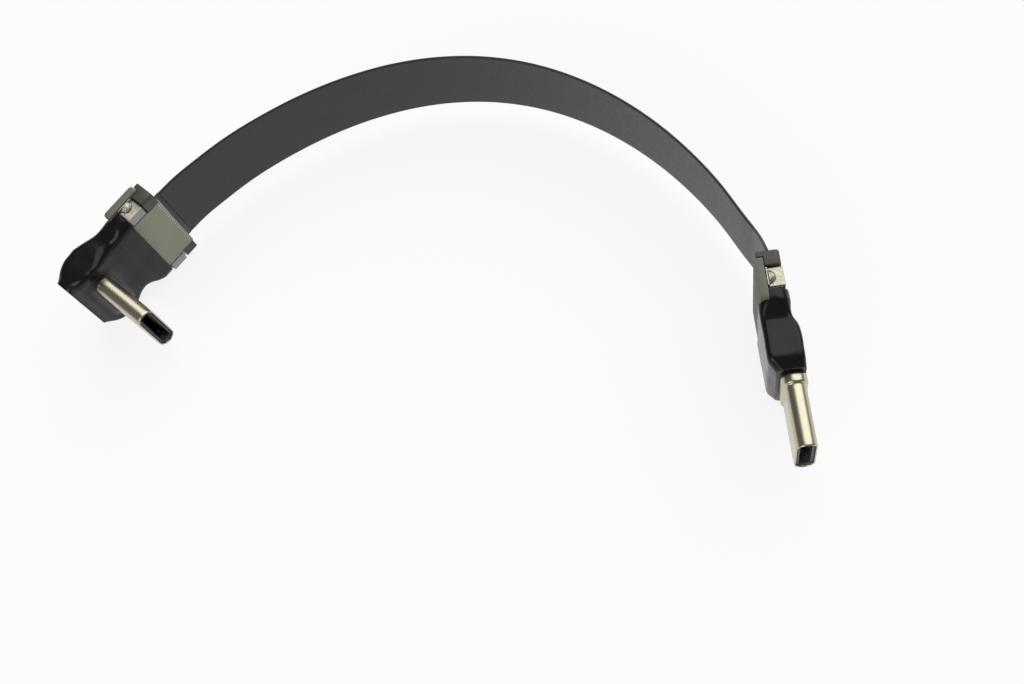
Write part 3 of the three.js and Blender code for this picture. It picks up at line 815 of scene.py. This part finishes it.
def make_contact_tree():
    """A row of equal contacts along Z, centred on the middle."""
    tree = bpy.data.node_groups.new("contact row", "GeometryNodeTree")
    face = tree.interface
    face.new_socket("Geometry", in_out="INPUT", socket_type="NodeSocketGeometry")
    face.new_socket("Count", in_out="INPUT", socket_type="NodeSocketInt")
    face.new_socket("Pitch", in_out="INPUT", socket_type="NodeSocketFloat")
    face.new_socket("Contact size", in_out="INPUT", socket_type="NodeSocketVector")
    face.new_socket("Material", in_out="INPUT", socket_type="NodeSocketMaterial")
    face.new_socket("Geometry", in_out="OUTPUT", socket_type="NodeSocketGeometry")
    nodes = tree.nodes
    links = tree.links
    given = nodes.new("NodeGroupInput")
    result = nodes.new("NodeGroupOutput")
    gaps = nodes.new("ShaderNodeMath")
    gaps.operation = "SUBTRACT"
    gaps.inputs[1].default_value = 1
    reach = nodes.new("ShaderNodeMath")
    reach.operation = "MULTIPLY"
    first = nodes.new("ShaderNodeMath")
    first.operation = "MULTIPLY"
    first.inputs[1].default_value = -0.5
    start = nodes.new("ShaderNodeCombineXYZ")
    step = nodes.new("ShaderNodeCombineXYZ")
    line = nodes.new("GeometryNodeMeshLine")
    line.mode = "OFFSET"
    contact = nodes.new("GeometryNodeMeshCube")
    spread = nodes.new("GeometryNodeInstanceOnPoints")
    real = nodes.new("GeometryNodeRealizeInstances")
    coat = nodes.new("GeometryNodeSetMaterial")
    links.new(given.outputs["Count"], gaps.inputs[0])
    links.new(gaps.outputs[0], reach.inputs[0])
    links.new(given.outputs["Pitch"], reach.inputs[1])
    links.new(reach.outputs[0], first.inputs[0])
    links.new(first.outputs[0], start.inputs["Z"])
    links.new(given.outputs["Pitch"], step.inputs["Z"])
    links.new(given.outputs["Count"], line.inputs["Count"])
    links.new(start.outputs[0], line.inputs["Start Location"])
    links.new(step.outputs[0], line.inputs["Offset"])
    links.new(given.outputs["Contact size"], contact.inputs["Size"])
    links.new(line.outputs["Mesh"], spread.inputs["Points"])
    links.new(contact.outputs["Mesh"], spread.inputs["Instance"])
    links.new(spread.outputs["Instances"], real.inputs["Geometry"])
    links.new(real.outputs["Geometry"], coat.inputs["Geometry"])
    links.new(given.outputs["Material"], coat.inputs["Material"])
    links.new(coat.outputs["Geometry"], result.inputs["Geometry"])
    return tree


CONTACT_ROW = make_contact_tree()


def contact_row(name, place, middle, count, pitch, size, material):
    """One row of contacts, its middle given in the frame that place turns to the row frame."""
    mesh = bpy.data.meshes.new(name)
    piece = shown(mesh, name, [])
    row = piece.modifiers.new("contact row", "NODES")
    row.node_group = CONTACT_ROW
    values = {"Count": count, "Pitch": pitch, "Contact size": size, "Material": material}
    for item in CONTACT_ROW.interface.items_tree:
        if item.in_out == "INPUT" and item.name in values:
            row[item.identifier] = values[item.name]
    applied(piece)
    edge = piece.modifiers.new("broken edges", "BEVEL")
    edge.width = min(size) * CONTACT_EDGE
    edge.segments = 2
    edge.limit_method = "ANGLE"
    applied(piece)
    piece.data.transform(place @ Matrix.Translation(middle))
    return piece


def make_comb(side, place):
    """The contacts that stand in the slots of the ribbon connector's mouth."""
    middle = (COMB_DEPTH / 2 + COMB_BACK, COMB_RISE, 0)
    size = (COMB_DEPTH - COMB_BACK, COMB_HEIGHT, COMB_TOOTH)
    piece = contact_row(side + "_comb_contacts", place, middle, WAYS, PITCH, size, CONTACT_TIN)
    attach(piece, "cable")


def make_plug_contacts(side, plug_place, length):
    """The two facing rows of gold contacts in the plug's mouth."""
    for row, sign in (("near", -1), ("far", 1)):
        name = f"{side}_plug_contacts_{row}"
        middle = (length - PLUG_CONTACT_BACK, sign * PLUG_CONTACT_OFFSET, 0)
        piece = contact_row(name, plug_place, middle, PLUG_WAYS, PITCH, PLUG_CONTACT, CONTACT_GOLD)
        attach(piece, "cable")


# Pieces that keep their solid's shape, with softened edges:
# solid, name, width of the edge, material, body and slot
SOLID_PIECES = [
    ("ribbon_end", "stiffened_end", 0.006, STIFFENER_BLUE, "cable", "stiffener_blue"),
    ("connector_housing", "housing", 0.04, HOUSING_BEIGE, "cable", "housing_beige"),
    ("slider", "lock_slider", 0.14, SLIDER_BROWN, "slider", "slider_brown"),
    ("board", "circuit_board", 0.04, BOARD_LAMINATE, "cable", "board_laminate"),
    ("hold_down_upper", "bracket_upper", 0.05, BRACKET_TIN, "cable", "tinned_metal"),
    ("hold_down_lower", "bracket_lower", 0.05, BRACKET_TIN, "cable", "tinned_metal"),
    ("plug_insulator", "insert", 0.03, INSERT_BLACK, "cable", "plug_insert"),
    ("plug_latch", "latch_spring", 0.02, LATCH_STEEL_PAINTED_SHADE, "cable", "tinned_metal"),
]


def make_connector_end(side, place):
    """The pieces that both ends have alike."""
    for solid, name, width, material, body, slot in SOLID_PIECES:
        piece = softened_copy(f"{side}_{solid}", f"{side}_{name}", width, material)
        if solid.startswith("hold_down"):
            wet_with_solder(piece)
        rides_on = side + "_slider" if body == "slider" else body
        finished(piece, [f"{side}_{solid}"], rides_on)
    make_solder(side, "upper", place, SOLDER_SEEDS["upper"])
    make_solder(side, "lower", place, SOLDER_SEEDS["lower"])
    make_comb(side, place)


def make_left_plug():
    """The plug square to its board."""
    foot = Matrix.Translation((LEFT_PLUG_AXIS, LEFT_PLUG_FOOT, 0))
    place = LEFT @ foot @ Matrix.Rotation(math.pi / 2, 4, "Z")
    length = LEFT_PLUG_TIP - LEFT_PLUG_FOOT
    make_shell("left", place, length, None)
    make_plug_contacts("left", place, length)


def make_right_plug():
    """The plug in line with its board."""
    place = RIGHT @ Matrix.Translation((RIGHT_PLUG_REAR, RIGHT_PLUG_RISE, 0))
    length = RIGHT_PLUG_TIP - RIGHT_PLUG_REAR
    collar = (COLLAR_FRONT - RIGHT_PLUG_REAR, COLLAR_BACK - RIGHT_PLUG_REAR)
    make_shell("right", place, length, collar)
    make_plug_contacts("right", place, length)


make_camera()
make_ribbon()
make_studio()
make_connector_end("left", LEFT)
make_connector_end("right", RIGHT)
make_heat_shrink("left", LEFT, LEFT_SHRINK, LEFT_SEED)
make_heat_shrink("right", RIGHT, RIGHT_SHRINK, RIGHT_SEED)
make_left_plug()
make_right_plug()

scene = bpy.context.scene
scene.view_settings.view_transform = "Standard"
